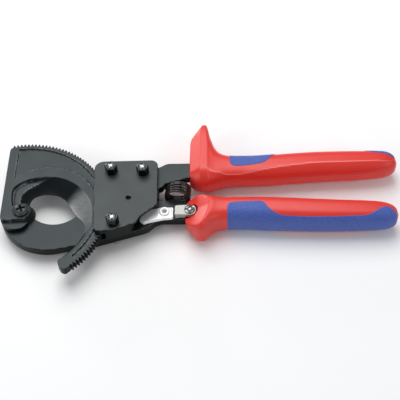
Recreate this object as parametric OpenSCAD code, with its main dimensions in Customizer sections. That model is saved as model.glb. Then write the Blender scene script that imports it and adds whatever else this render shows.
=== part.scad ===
// Ratchet cable cutter for one hand. Millimetres. The tool lies on its back: X runs from the
// nose to the ends of the grips, Y across the grips, Z up from the table to the front cover.

/* [Plates] */
// Thickness of the fixed jaw plate
plate_t = 6; // [5:0.5:7]
// Thickness of the moving blade
blade_t = 5.9; // [5:0.1:6.2]
// Height of the cover's front face above the back of the fixed plate
cover_top = 16; // [15.5:0.5:18]
// Thickness of the cover's front face
cover_face_t = 3.4; // [2.5:0.1:3.4]

/* [Blade] */
// Radius to the tips of the blade's teeth
tooth_tip_r = 55; // [54.5:0.1:55]
// Depth of a tooth
tooth_depth = 1.8; // [1:0.1:2]
// Teeth in a full turn
teeth_per_turn = 144; // [144:1:144]
// Teeth on the blade
tooth_count = 61; // [50:1:61]

/* [Fasteners] */
// Shank diameter of the nose screw
nose_screw_d = 6; // [5:0.5:6]
// Diameter of the cover bolts
bolt_d = 4; // [3:0.5:4]
// Width across the flats of the cover nuts
nut_af = 7; // [6:0.5:8]
// Height of the cover nuts
nut_h = 6; // [3:0.5:7]
// Radial clearance of a pin or a screw in its hole
fit_gap = 0.03; // [0.02:0.01:0.05]

/* [Opening spring] */
// Diameter of the spring wire
wire_d = 1.5; // [1.2:0.1:1.6]
// Mean radius of the spring's coils
coil_r = 7.6; // [7:0.1:7.6]
// Turns of the spring
coil_turns = 5; // [4:1:5]

/* [Grips] */
// Points around a grip's section
grip_sides = 28; // [16:4:36]
// How far a soft pad stands out of its grip
pad_proud = 0.3; // [0.1:0.1:0.5]
// Depth to which a soft pad is let into its grip
pad_depth = 1.4; // [1:0.1:2]

/* [Hidden] */
$fn = 64;

// Where the nose pivot stands in the part's frame, and how far the fixed plate is off the table
nose_x = -112.55;
nose_y = -11.95;
lift = 5;

// Heights of the layers above the back of the fixed plate
blade_z = plate_t + 0.1;
blade_top = blade_z + blade_t;
cavity_top = cover_top - cover_face_t;
handle_z = plate_t + 0.3;
handle_t = 5.6;
pawl_t = 2.6;
drive_pawl_z = plate_t + 0.3;
retaining_pawl_z = plate_t + 3.3;
lever_z = plate_t + 0.4;
lever_t = 2.6;
lock_z = plate_t + 2;
lock_t = 2.4;
grip_z = 6;

// Centres in the plane of the plates, from the nose pivot
handle_pivot = [76, 27];
upper_bolt = [55.8, 28];
lower_bolt = [59.2, -12.5];
bolt_centres = [upper_bolt, handle_pivot, lower_bolt];
drive_pawl_pivot = [80, 13];
retaining_pawl_pivot = [67.8, 6.5];
lever_pivot = [90.3, 0.2];
lock_pivot = [106.2, 0.8];
jaw_centre = [20, 12];
jaw_r = 18.4;
bevel_centre = [14, 3];
washer_r = 5.3;
washer_t = 0.8;

// ---- helpers ----

function unit(v) = v / norm(v);
function turned(v, a) = [v.x * cos(a) - v.y * sin(a), v.x * sin(a) + v.y * cos(a)];
function polar(r, a) = [r * cos(a), r * sin(a)];

// The corner at b between its neighbours a and c, as an arc of radius r
function corner(a, b, c, r) =
    let (
        u = unit(a - b),
        w = unit(c - b),
        half = acos(u * w) / 2,
        centre = b + unit(u + w) * r / sin(half),
        start = b + u * r / tan(half) - centre,
        sweep = (u.x * w.y - u.y * w.x > 0 ? -1 : 1) * (180 - 2 * half),
        steps = max(2, ceil(abs(sweep) / 15))
    )
    r <= 0 ? [b] : [for (i = [0:steps]) centre + turned(start, sweep * i / steps)];

// A closed outline from points given as [x, y, corner radius]
function rounded(points) =
    let (n = len(points), xy = [for (p = points) [p.x, p.y]])
    [for (i = [0:n - 1]) each corner(xy[(i + n - 1) % n], xy[i], xy[(i + 1) % n], points[i].z)];

// Places a piece that is drawn about the nose pivot into the part's frame
module from_nose() {
    translate([nose_x, nose_y, lift]) children();
}

module at(centre, z = 0) {
    translate([centre.x, centre.y, z]) children();
}

module hole(centre, radius, z = -20, h = 60) {
    at(centre, z) cylinder(r = radius, h = h);
}

module slab(points, z, h) {
    translate([0, 0, z]) linear_extrude(h) polygon(rounded(points));
}

// A closed skin over rings of points, each ring with the same number of them
module skin(rings) {
    n = len(rings[0]);
    m = len(rings);
    polyhedron(
        points = [for (ring = rings) each ring],
        faces = concat(
            [[for (k = [0:n - 1]) k]],
            [for (i = [0:m - 2], k = [0:n - 1])
                each [
                    [i * n + k, (i + 1) * n + k, (i + 1) * n + (k + 1) % n],
                    [i * n + k, (i + 1) * n + (k + 1) % n, i * n + (k + 1) % n]
                ]],
            [[for (k = [n - 1:-1:0]) (m - 1) * n + k]]
        ),
        convexity = 6
    );
}

// A tube of a wire's diameter along a path in space
function path_dir(path, i) =
    unit(path[min(i + 1, len(path) - 1)] - path[max(i - 1, 0)]);

function wire_ring(path, i, d, side_hint) =
    let (
        t = path_dir(path, i),
        side = unit(cross(t, side_hint)),
        up = cross(side, t)
    )
    [for (k = [0:7]) path[i] + d / 2 * (cos(45 * k) * side + sin(45 * k) * up)];

module wire(path, d, side_hint = [0, 1, 0]) {
    skin([for (i = [0:len(path) - 1]) wire_ring(path, i, d, side_hint)]);
}

// ---- plates and blade ----

// Crescent jaw, head plate and shank, forged in one piece, with the tang inside the lower grip
module fixed_jaw_handle() color("#2b2e30") from_nose() {
    difference() {
        union() {
            intersection() {
                at([17.5, 6.4]) cylinder(r = 32.4, h = plate_t, $fn = 96);
                slab([[-20, -40, 0], [60, -40, 0], [60, 12, 0], [-20, -4, 0]], -1, plate_t + 2);
            }
            cylinder(r = 13.8, h = plate_t);
            slab([
                [22, -25.6, 0], [47.5, -20.4, 4], [79.7, -10, 6], [86, -3.5, 8], [104, -3.6, 0],
                [150, -3.4, 0], [214, -6.5, 2.5], [214, 0.5, 2.5], [150, 5, 0], [105, 9.1, 4],
                [97.5, 11.7, 5], [86, 11.8, 3], [85.6, 30, 3], [80, 36, 5], [47, 36, 4],
                [38, 20, 6], [38, 0, 0]
            ], 0, plate_t);
            // Peg that keeps the opening spring in place
            translate([95.4, 10.2, 1.8]) cube([5, 4, plate_t - 1.8]);
        }
        // The jaw's hole, relieved behind its cutting edge
        at(jaw_centre, -0.01) cylinder(r1 = jaw_r + 2, r2 = jaw_r, h = plate_t + 0.02, $fn = 96);
        slab([[1, 9, 0], [38.2, 9, 0], [39.5, 24, 0], [38, 60, 0], [-20, 60, 0], [-20, 14, 0]],
            -1, plate_t + 2);
        hole([0, 0], nose_screw_d / 2 + fit_gap);
        for (c = bolt_centres) hole(c, bolt_d / 2 + fit_gap);
        hole(lever_pivot, 2 + fit_gap);
        hole(lock_pivot, 2 + fit_gap);
    }
}

tooth_pitch = 360 / teeth_per_turn;
first_tooth = 101.25;
tail_end = -56;

// The toothed rim, as an outline about the nose pivot
function tooth_points() = [
    for (i = [0:tooth_count - 1])
        let (tip = first_tooth - i * tooth_pitch)
        each [
            polar(tooth_tip_r - tooth_depth, tip + 0.46 * tooth_pitch),
            polar(tooth_tip_r, tip + 0.1 * tooth_pitch),
            polar(tooth_tip_r, tip - 0.1 * tooth_pitch),
            polar(tooth_tip_r - tooth_depth, tip - 0.46 * tooth_pitch)
        ]
];

// The boss round the nose screw, which the bevel and the step leave standing
module hub_cone(low_r, top_r) {
    translate([0, 0, blade_z - 1]) cylinder(r = low_r, h = 1);
    translate([0, 0, blade_z]) cylinder(r1 = low_r, r2 = top_r, h = blade_t + 0.05);
}

// Hooked sector with teeth round its rim and a ground bevel down to its cutting edge
module moving_blade() color("#33373a") from_nose() {
    tail_inner_r = 42.4;
    tail_face_r = 46.3;
    hub_r = 8.4;
    hub_top_r = 5.9;
    difference() {
        union() {
            translate([0, 0, blade_z]) linear_extrude(blade_t) polygon(concat(
                tooth_points(),
                [polar(tooth_tip_r, tail_end + 1.3), polar(tooth_tip_r - 2.7, tail_end - 0.5),
                 polar(tail_face_r + 1.5, tail_end), polar(tail_face_r - 0.8, tail_end + 2)],
                [for (a = [tail_end + 6:8:-9]) polar(tail_inner_r, a)],
                [[39, -5.3], [34.3, -0.5], [26, 12.4]],
                [[13, 6], [0, 0], [-13.1, 0], [-13.1, 49.4], [-12.4, 51.6]]
            ));
            translate([0, 0, blade_z]) cylinder(r = hub_r, h = blade_t);
            slab([[-13.1, 5, 0], [-13.1, -7, 8], [-6.5, -12.8, 6], [1.6, -11.4, 5], [7.4, -2, 3],
                [6, 6, 0]], blade_z, blade_t);
        }
        // Bevels: a cone round the cutting edge and another along the tail
        difference() {
            at(bevel_centre, blade_z - 0.01) cylinder(r1 = 13.6, r2 = 25.2, h = blade_t + 0.02, $fn = 96);
            hub_cone(hub_r, hub_top_r);
        }
        difference() {
            translate([0, 0, blade_z + 0.6])
                cylinder(r1 = tail_inner_r + 0.3, r2 = tail_face_r, h = blade_t - 0.59, $fn = 128);
            slab([[-80, -14, 0], [-80, 80, 0], [80, 80, 0], [80, 2, 0], [39, -5.3, 0], [13, 6, 0],
                [0, 0, 0]], 0, 20);
            hole([0, 0], 14);
        }
        // Step below the nose screw, and the sunk seat of its washer
        difference() {
            slab([[-20, -20, 0], [20, -20, 0], [20, -6.6, 0], [-20, -6.6, 0]], blade_top - 2.6, 4);
            hub_cone(hub_r, hub_top_r);
        }
        hole([0, 0], washer_r + 0.2, blade_top - washer_t, 4);
        // Sunk panel on the face
        difference() {
            intersection() {
                translate([0, 0, blade_top - 0.8]) cylinder(r = 51, h = 2, $fn = 128);
                slab([[-7.2, 25, 0], [60, 0, 0], [60, 60, 0], [-7.2, 60, 0]], 5, 10);
            }
            at([15, 3]) cylinder(r = 32.2, h = 30, $fn = 96);
        }
        // Groove along the tail
        rotate(-44) translate([0, 0, blade_top - 0.8]) rotate_extrude(angle = 30, $fn = 128)
            translate([49, 0]) square([2, 2]);
        hole([0, 0], nose_screw_d / 2 + 0.05);
    }
}

// Cast cover over the ratchet, open where the blade, the handle and the lever pass
module front_cover() color("#3a3e41") from_nose() {
    difference() {
        slab([
            [47.4, -19.2, 3], [59, -18.2, 6], [73.2, -13, 2.5], [75.4, -8.2, 2], [86.2, 1.4, 1.5],
            [85.2, 37, 4.5], [44.2, 36.3, 6]
        ], plate_t, cover_top - plate_t);
        difference() {
            slab([
                [40, -25, 0], [40, 45, 0], [49, 45, 0], [49, 33.6, 0], [64, 33.6, 0], [64, 45, 0],
                [95, 45, 0], [95, -12, 0], [76, -12, 0], [73, -9.8, 0], [54.5, -15.6, 0],
                [54.5, -25, 0]
            ], plate_t - 1, cavity_top - plate_t + 1);
            hole(upper_bolt, 4.4);
            hole(lower_bolt, 3.2);
        }
        // Thin edge over the lever's finger
        slab([[69, -14, 0], [74, -16, 0], [90, -16, 0], [90, 1, 0], [84.2, 1, 0], [72.4, -9.4, 0]],
            plate_t - 1, cover_top - 1.4 - plate_t + 1);
        for (c = bolt_centres) hole(c, bolt_d / 2 + fit_gap);
        hole(retaining_pawl_pivot, 1.5 + fit_gap);
    }
}

// ---- fasteners ----

module hex_prism(af, h) {
    cylinder(d = af / cos(30), h = h, $fn = 6);
}

// Raised cross-head screw that the blade swings on
module nose_screw() color("#4a4d50") from_nose() {
    head_z = blade_top + 0.1;
    head_h = 2.9;
    head_r = 4.9;
    dome_r = 7.2;
    difference() {
        union() {
            translate([0, 0, -3]) cylinder(d = nose_screw_d, h = head_z + 3.1);
            intersection() {
                translate([0, 0, head_z]) cylinder(r = head_r, h = head_h);
                translate([0, 0, head_z + head_h - dome_r]) sphere(r = dome_r);
            }
        }
        for (a = [0, 90]) rotate(a)
            translate([-2.4, -0.6, head_z + head_h - 1.8]) cube([4.8, 1.2, 3]);
    }
}

module nose_nut() color("#3a3d40") from_nose() {
    difference() {
        translate([0, 0, -4]) hex_prism(10, 4);
        hole([0, 0], nose_screw_d / 2 + fit_gap);
    }
}

module nose_washer() color("#3a3d40") from_nose() {
    difference() {
        translate([0, 0, blade_top - washer_t + 0.05]) cylinder(r = washer_r, h = washer_t);
        hole([0, 0], nose_screw_d / 2 + fit_gap);
    }
}

// Three bolts through the plate and the cover, with button heads behind the plate
module cover_bolts() color("#c9c9c6") from_nose() {
    for (c = bolt_centres) at(c, -2.6) {
        cylinder(r = 3.8, h = 2.6);
        cylinder(d = bolt_d, h = 2.6 + cover_top + nut_h + 0.4);
    }
}

module cover_nuts() color("#232527") from_nose() {
    for (c = bolt_centres) difference() {
        at(c, cover_top) hex_prism(nut_af, nut_h);
        hole(c, bolt_d / 2 + fit_gap);
    }
}

// Sleeve round the upper right bolt, on which the moving handle turns
module handle_bush() color("#8f9294") from_nose() {
    difference() {
        at(handle_pivot, plate_t) cylinder(r = 4, h = cavity_top - plate_t);
        hole(handle_pivot, bolt_d / 2 + fit_gap);
    }
}

// ---- moving handle and pawls ----

// Pivot eye, limb for the drive pawl, shank and the tang inside the upper grip
module moving_handle() color("#303336") from_nose() {
    difference() {
        union() {
            at(handle_pivot, handle_z) cylinder(r = 9.3, h = handle_t);
            slab([
                [76, 36, 2], [84.5, 33.4, 5], [91, 37.2, 6], [106, 37.2, 0], [150, 38.6, 0],
                [214, 42, 2.5], [214, 35, 2.5], [150, 30.4, 0], [108, 28, 4], [105.9, 25.6, 0],
                [90, 20.4, 2], [88.4, 17.8, 1.5], [86.2, 16.8, 1], [86.2, 11.4, 2], [84, 9, 2],
                [76, 9, 3], [74, 13, 3], [68, 23, 3]
            ], handle_z, handle_t);
            // Peg that keeps the opening spring in place
            translate([95.6, 19.2, handle_z]) cube([5, 5, 4.6]);
        }
        hole(handle_pivot, 4 + 0.05);
        hole(drive_pawl_pivot, 1.5 + fit_gap);
        // Pocket in the back of the limb for the drive pawl
        slab([
            [84.6, 19, 0], [84.6, 5, 0], [60, 5, 0], [60, 18, 0], [72, 20.6, 0], [78, 19, 0]
        ], handle_z - 1, pawl_t + 1.3);
    }
}

// Where the noses stand at rest, just off the tips of the teeth
drive_nose = polar(tooth_tip_r + 0.5, -9);
retaining_nose = polar(tooth_tip_r + 0.35, -5.9);

// A pawl's outline: from its pivot to a wedge whose middle line runs along angle a
module pawl_outline(pivot, nose, a, width) {
    toward = unit(nose - pivot);
    beside = [-toward.y, toward.x];
    out = polar(1, a);
    across = [-out.y, out.x];
    polygon([
        pivot + width * beside,
        nose + 1.5 * out - 0.8 * across,
        nose - 0.2 * across,
        nose + 0.2 * across,
        nose + 1.5 * out + 0.8 * across,
        pivot - width * beside
    ]);
}

// Pushes the teeth down when the handles are squeezed
module drive_pawl() color("#9a9d9f") from_nose() {
    difference() {
        union() {
            at(drive_pawl_pivot, drive_pawl_z) cylinder(r = 3.8, h = pawl_t);
            translate([0, 0, drive_pawl_z]) linear_extrude(pawl_t)
                pawl_outline(drive_pawl_pivot, drive_nose, -9, 3.2);
        }
        hole(drive_pawl_pivot, 1.5 + 0.05);
    }
}

module drive_pawl_pin() color("#b5b7b8") from_nose() {
    at(drive_pawl_pivot, drive_pawl_z) cylinder(r = 1.5, h = handle_t);
}

// Hairpin spring between the limb and the drive pawl
module drive_pawl_spring() color("#6f7274") from_nose() {
    z = drive_pawl_z + pawl_t / 2;
    wire([
        [85, 16.6, z], [81, 18.3, z], [77, 18.2, z], [74.4, 16.6, z], [73.4, 14.2, z],
        [72.6, 12.4, z]
    ], 0.6, [0, 0, 1]);
}

// Holds the blade between strokes; its tail is lifted by the release lever
module retaining_pawl() color("#9a9d9f") from_nose() {
    difference() {
        union() {
            at(retaining_pawl_pivot, retaining_pawl_z) cylinder(r = 3.6, h = pawl_t);
            translate([0, 0, retaining_pawl_z]) linear_extrude(pawl_t)
                pawl_outline(retaining_pawl_pivot, retaining_nose, 1, 3);
            slab([[68, 10, 0], [68, 4, 0], [78.6, 4.3, 0.8], [78.6, 6, 0.8]],
                retaining_pawl_z, pawl_t);
        }
        hole(retaining_pawl_pivot, 1.5 + 0.05);
    }
}

// Stub pin that hangs from the cover; its end shows in the cover's small hole
module retaining_pawl_pin() color("#c4c6c7") from_nose() {
    at(retaining_pawl_pivot, retaining_pawl_z) cylinder(r = 1.5, h = cover_top - retaining_pawl_z - 0.6);
}

// Leaf spring from the upper bolt's boss down to the back of the retaining pawl
module retaining_pawl_spring() color("#6f7274") from_nose() {
    z = retaining_pawl_z + pawl_t / 2;
    wire([
        [59.6, 26.4, z], [62.4, 22.4, z], [63.6, 17, z], [63.2, 11, z], [62.2, 7, z],
        [60.9, 3.4, z]
    ], 0.6, [0, 0, 1]);
}

// ---- release lever and lock ----

// Silver lever on the shank; its finger reaches under the cover and lifts the retaining pawl
module release_lever() color("#d9dadb") from_nose() {
    difference() {
        union() {
            slab([
                [74.2, -5.6, 1.4], [77.4, -8, 1.6], [83, -6.2, 6], [90, -4.6, 6], [95.8, -4.2, 1],
                [95.8, 4, 1], [89, 4.1, 4], [82, 2.6, 3], [79.4, 4.1, 1.2], [75.8, 4.1, 1.2],
                [76.4, -2, 2]
            ], lever_z, lever_t);
            at([77.6, 2.7], lever_z) cylinder(r = 1.3, h = 5.3);
        }
        hole(lever_pivot, 2 + 0.05);
    }
}

// Hollow rivet of the release lever
module lever_rivet() color("#e6e6e4") from_nose() {
    difference() {
        union() {
            at(lever_pivot, -0.9) cylinder(r = 2, h = 0.9 + lever_z + lever_t + 0.1);
            at(lever_pivot, -0.9) cylinder(r = 3, h = 0.9);
            at(lever_pivot, lever_z + lever_t + 0.1) cylinder(r = 3.3, h = 1.2);
        }
        hole(lever_pivot, 1.45);
    }
}

// Plate that turns on the slotted pin, with its free end stepped down to the shank
module lock_plate() color("#d2d3d4") from_nose() {
    difference() {
        union() {
            slab([
                [96.7, -2.9, 1], [106.2, -3.3, 2], [110.3, -3, 3.4], [110.3, 4.6, 3.4],
                [106.2, 4.9, 2], [96.7, 4.6, 1]
            ], lock_z, lock_t);
            slab([[96.7, -2.9, 1], [99, -2.9, 0], [99, 4.6, 0], [96.7, 4.6, 1]],
                plate_t + 0.2, lock_z - plate_t);
            // Edge folded down along the front
            slab([[96.7, -2.9, 1], [103.2, -3.15, 0], [103.2, -2, 0], [96.7, -1.8, 0]],
                plate_t + 0.8, lock_z - plate_t - 0.7);
        }
        hole(lock_pivot, 2 + 0.05);
    }
}

// Domed pin with a screwdriver slot, on a shoulder that stands on the shank
module lock_pin() color("#dededd") from_nose() {
    top_z = lock_z + lock_t + 0.1;
    dome_r = 4.4;
    difference() {
        union() {
            at(lock_pivot) cylinder(r = 2, h = top_z + 0.1);
            at(lock_pivot, plate_t) cylinder(r = 3.2, h = lock_z - plate_t - 0.05);
            intersection() {
                at(lock_pivot, top_z) cylinder(r = 3.3, h = 2.2);
                at(lock_pivot, top_z + 2.2 - dome_r) sphere(r = dome_r);
            }
        }
        at(lock_pivot, top_z + 1.3) rotate(35) translate([-4, -0.45, 0]) cube([8, 0.9, 2]);
    }
}

// ---- opening spring ----

// The coil fans out a little, because the shank edges it stands between aren't parallel.
// Its first and last three quarters of a turn lie flat.
spring_foot = [98, 12.6];
spring_head = [98.4, 19.6];
foot_tilt = -7;
head_tilt = 3;
spring_z = 6.6;

function spring_rise(t) =
    let (flat = 0.75 / coil_turns)
    min(1, max(0, (t - flat) / (1 - 2 * flat)));

function spring_point(t) =
    let (
        a = 360 * coil_turns * t + 200,
        u = spring_rise(t),
        tilt = foot_tilt * (1 - u) + head_tilt * u,
        c = spring_foot + (spring_head - spring_foot) * u
    )
    [
        c.x + coil_r * cos(a) * cos(tilt),
        c.y + coil_r * cos(a) * sin(tilt),
        spring_z + coil_r * sin(a)
    ];

module opening_spring() color("#1d1b1a") from_nose() {
    steps = 15 * coil_turns;
    wire([for (i = [0:steps]) spring_point(i / steps)], wire_d);
}

// ---- grips ----

// Stations along a grip: [x, lower side, upper side, half thickness, squareness of the section]
upper_stations = [
    [105.5, 26, 55, 6, 4.5], [106.6, 24, 57.5, 8.2, 4.5], [109.8, 23, 62, 9.8, 4],
    [112.4, 22.8, 66.6, 10.9, 4], [114.2, 22.8, 68.8, 11, 3.6], [116.2, 22.8, 67, 10.9, 3.6],
    [118.4, 22.9, 59, 10.5, 3.4], [121, 23.3, 51.4, 10.1, 3], [124.5, 23.8, 46.6, 9.9, 2.8],
    [129, 24.6, 44.2, 9.9, 2.6], [136, 25, 43.7, 10, 2.6], [145, 25.1, 43.7, 10, 2.6],
    [158, 25.5, 44.5, 10.1, 2.6], [172, 26.8, 45.7, 10.1, 2.6], [186, 27.9, 46.7, 10, 2.6],
    [200, 28.4, 47, 9.8, 2.6], [212, 28.9, 47.1, 9.5, 2.6], [222, 30, 47, 9, 2.6],
    [230.5, 31, 46.7, 8.4, 2.5], [235, 32.6, 45.2, 7.2, 2.4], [237.6, 34.6, 42.8, 5.2, 2.3],
    [238.9, 37, 40, 2.6, 2.2]
];
lower_stations = [
    [103.6, -7, 7, 5.4, 3.5], [104.7, -9.6, 9, 7.4, 3.5], [108, -12.6, 10.8, 9.2, 3.4],
    [111.4, -15.8, 11.4, 10.6, 3.4], [113.6, -16.8, 11.4, 11, 3.2], [115.6, -16, 11.3, 11, 3.2],
    [119, -12.6, 10.9, 10.6, 3], [123.5, -9.6, 10.2, 10.1, 2.8], [129, -8.3, 9.9, 9.8, 2.6],
    [136, -8.2, 10, 9.8, 2.6], [145, -8.5, 10, 10, 2.6], [157, -9.3, 9.6, 10.2, 2.6],
    [170, -9.8, 9, 10.1, 2.6], [184, -10.4, 8.1, 9.9, 2.6], [198, -10.6, 7.3, 9.6, 2.6],
    [210, -10.5, 6.8, 9.3, 2.6], [220, -10.3, 6.3, 8.9, 2.6], [227, -10, 5.7, 8.3, 2.5],
    [232, -8.9, 4.2, 7.2, 2.4], [235, -6.9, 1.9, 5.2, 2.3], [236.5, -4.2, -0.8, 2.6, 2.2]
];

// One coordinate of a squared ellipse
function bent(v, squareness) = sign(v) * pow(abs(v), 2 / squareness);

// The station at x, between the two that enclose it
function station_at(stations, x) =
    let (
        i = max([for (k = [0:len(stations) - 2]) if (stations[k].x <= x) k]),
        f = (x - stations[i].x) / (stations[i + 1].x - stations[i].x)
    )
    stations[i] * (1 - f) + stations[i + 1] * f;

// A point of the grip's skin at angle a: 0 is the upper side, 90 the front; out is a margin
function skin_point(s, a, out = 0) = [
    s[0],
    (s[1] + s[2]) / 2 + ((s[2] - s[1]) / 2 + out) * bent(cos(a), s[4]),
    grip_z + (s[3] + out) * bent(sin(a), s[4])
];

module grip_body(stations) {
    skin([for (s = stations) [for (k = [0:grip_sides - 1]) skin_point(s, 360 * k / grip_sides)]]);
}

// A soft pad: a shell over the grip between two angles at each x, given as [x, first, last]
module pad(stations, edges) {
    across = 14;
    skin([
        for (e = edges)
            let (s = station_at(stations, e.x))
            concat(
                [for (k = [0:across]) skin_point(s, e.y + (e.z - e.y) * k / across, pad_proud)],
                [for (k = [across:-1:0]) skin_point(s, e.y + (e.z - e.y) * k / across, -pad_depth)]
            )
    ]);
}

module upper_grip() color("#dc3a34") from_nose() {
    grip_body(upper_stations);
}

module upper_grip_front_pad() color("#34509e") from_nose() {
    pad(upper_stations, [
        [131, -86, 86], [132.5, -98, 98], [142, -99, 99], [153.5, -91, 91], [157.5, -66, 66],
        [160.5, -36, 36]
    ]);
}

module upper_grip_end_pad() color("#34509e") from_nose() {
    pad(upper_stations, [
        [217.5, -20, 20], [219.5, -42, 42], [221.5, -54, 54], [224.5, -63, 63], [228.5, -71, 71],
        [233, -78, 78], [237, -84, 84]
    ]);
}

module lower_grip() color("#e0453f") from_nose() {
    difference() {
        grip_body(lower_stations);
        // Sloping face at the front of the guard
        rotate([90, 0, 0]) translate([0, 0, -20]) linear_extrude(60)
            polygon([[100, 5.2], [103.6, 6.4], [119.6, 17.1], [119.6, 20], [100, 20]]);
        // Pocket round the end of the lock plate
        hole(lock_pivot, 5.2, plate_t, 20);
        // The lock pin's hole, where the grip's plastic would fill that of the shank
        hole(lock_pivot, 2 + fit_gap, -0.1, plate_t + 1);
    }
}

module lower_grip_pad() color("#34509e") from_nose() {
    pad(lower_stations, [
        for (e = [
            [130, 94], [131.5, 86], [145, 82], [151, 82], [154, 91], [157, 109], [161.5, 126],
            [168, 134], [182, 133], [200, 130], [214, 126], [218, 118], [221.5, 103], [225, 89],
            [228.5, 84], [232.5, 91], [235, 104]
        ]) [e.x, e.y, 360 - e.y]
    ]);
}

fixed_jaw_handle();
moving_blade();
front_cover();
nose_screw();
nose_nut();
nose_washer();
cover_bolts();
cover_nuts();
handle_bush();
moving_handle();
drive_pawl();
drive_pawl_pin();
drive_pawl_spring();
retaining_pawl();
retaining_pawl_pin();
retaining_pawl_spring();
release_lever();
lever_rivet();
lock_plate();
lock_pin();
opening_spring();
upper_grip();
upper_grip_front_pad();
upper_grip_end_pad();
lower_grip();
lower_grip_pad();
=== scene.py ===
"""Ratchet cable cutter: its looks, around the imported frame. Outlines are in mm about the nose screw."""
import math

import bpy
import numpy as np
from mathutils import Matrix, Vector, geometry

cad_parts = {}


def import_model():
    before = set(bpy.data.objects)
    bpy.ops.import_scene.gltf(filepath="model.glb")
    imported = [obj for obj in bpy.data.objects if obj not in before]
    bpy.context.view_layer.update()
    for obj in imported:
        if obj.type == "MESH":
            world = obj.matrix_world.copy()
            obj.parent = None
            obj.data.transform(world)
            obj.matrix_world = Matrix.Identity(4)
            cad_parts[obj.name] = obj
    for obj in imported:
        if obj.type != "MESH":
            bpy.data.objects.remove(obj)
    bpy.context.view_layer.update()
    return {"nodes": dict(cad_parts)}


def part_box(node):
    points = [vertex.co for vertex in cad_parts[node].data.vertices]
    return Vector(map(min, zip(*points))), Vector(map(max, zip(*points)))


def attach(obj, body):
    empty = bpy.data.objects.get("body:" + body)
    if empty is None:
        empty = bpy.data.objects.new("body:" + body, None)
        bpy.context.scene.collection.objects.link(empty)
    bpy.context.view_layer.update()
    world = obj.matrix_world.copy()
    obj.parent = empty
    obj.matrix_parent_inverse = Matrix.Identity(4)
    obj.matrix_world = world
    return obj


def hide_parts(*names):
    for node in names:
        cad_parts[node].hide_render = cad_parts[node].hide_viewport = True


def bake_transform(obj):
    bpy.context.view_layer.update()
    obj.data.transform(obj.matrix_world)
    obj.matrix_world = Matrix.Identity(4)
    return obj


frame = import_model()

MM = 0.001
# Heights above the plate's underside
PLATE_TOP, BLADE_Z, BLADE_TOP = 6.0, 6.1, 12.0
CAVITY_TOP, LIP_Z, COVER_TOP = 12.6, 14.6, 16.0
HANDLE_Z, HANDLE_STEP_Z, HANDLE_T = 6.3, 9.2, 5.6
LEVER_Z, LEVER_TOP = 6.4, 9.0
LOCK_FOOT_Z, LOCK_FOLD_Z, LOCK_Z, LOCK_TOP = 6.2, 6.82, 8.0, 10.4
GRIP_Z = 6.0
# Centres, from the nose screw
BOLTS = [(55.8, 28.0), (76.0, 27.0), (59.2, -12.5)]
JAW_CENTRE, JAW_R = (20, 12), 18.4
PANEL_CENTRE, BEVEL_CENTRE = (15, 3), (14, 3)
PAWL_PIVOT, LEVER_PIVOT, LEVER_PEG, LOCK_PIVOT = (67.8, 6.5), (90.3, 0.2), (77.6, 2.7), (106.2, 0.8)

screw_lo, screw_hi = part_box("nose_screw")
NOSE = Vector(((screw_lo.x + screw_hi.x) / 2, (screw_lo.y + screw_hi.y) / 2, screw_lo.z + 3 * MM))


def world(p):
    """The place in metres of a point in millimetres about the nose screw."""
    return (NOSE.x + p[0] * MM, NOSE.y + p[1] * MM, NOSE.z + p[2] * MM)


# ---- plane geometry

def turn_of(loop):
    """Twice the signed area."""
    x, y = loop[:, 0], loop[:, 1]
    return float(np.sum(x * np.roll(y, -1) - y * np.roll(x, -1)))


def wound(loop, ccw=True):
    loop = np.array(loop, float)
    return loop if (turn_of(loop) > 0) == ccw else loop[::-1].copy()


def resample(loop, step, closed=True):
    """Adds points to the long sides, and keeps every corner."""
    loop = np.array(loop, float)
    n = len(loop)
    out = []
    for i in range(n if closed else n - 1):
        a, b = loop[i], loop[(i + 1) % n]
        k = max(1, int(math.ceil(np.linalg.norm(b - a) / step)))
        out += [a + (b - a) * j / k for j in range(k)]
    if not closed:
        out.append(loop[-1])
    return np.array(out)


def beside(loop, closed=True):
    """For each point the direction to the left of the loop, lengthened at corners."""
    d = np.roll(loop, -1, 0) - loop
    if not closed:
        d[-1] = d[-2]
    d /= np.maximum(np.linalg.norm(d, axis=1), 1e-9)[:, None]
    n = np.stack([-d[:, 1], d[:, 0]], 1)
    m = np.roll(n, 1, 0)
    if not closed:
        m[0] = n[0]
    s = n + m
    return s / np.maximum(np.sum(s * n, 1), 0.62)[:, None]


def rounded(points, step=9):
    """A closed outline from (x, y, corner radius)."""
    n = len(points)
    out = []
    for i in range(n):
        a, b, c = (np.array(points[(i + k) % n][:2], float) for k in (-1, 0, 1))
        r = points[i][2]
        if r <= 0:
            out.append(b)
            continue
        u, w = (a - b) / np.linalg.norm(a - b), (c - b) / np.linalg.norm(c - b)
        half = math.acos(max(-1, min(1, float(u @ w)))) / 2
        centre = b + (u + w) / np.linalg.norm(u + w) * r / math.sin(half)
        start = b + u * r / math.tan(half) - centre
        sweep = (-1 if u[0] * w[1] - u[1] * w[0] > 0 else 1) * (math.pi - 2 * half)
        k = max(2, int(abs(math.degrees(sweep)) / step))
        for j in range(k + 1):
            t = sweep * j / k
            out.append(centre + np.array([start[0] * math.cos(t) - start[1] * math.sin(t),
                                          start[0] * math.sin(t) + start[1] * math.cos(t)]))
    return np.array(out)


def polar(r, a):
    return (r * math.cos(math.radians(a)), r * math.sin(math.radians(a)))


def circle(centre, r, n=64):
    a = np.arange(n) * 2 * math.pi / n
    return np.stack([centre[0] + r * np.cos(a), centre[1] + r * np.sin(a)], 1)


def arc(centre, r, a0, a1, n=40):
    a = np.radians(np.linspace(a0, a1, n))
    return np.stack([centre[0] + r * np.cos(a), centre[1] + r * np.sin(a)], 1)


def radius(P, centre=(0, 0)):
    return np.linalg.norm(P - np.array(centre), axis=1)


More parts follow.
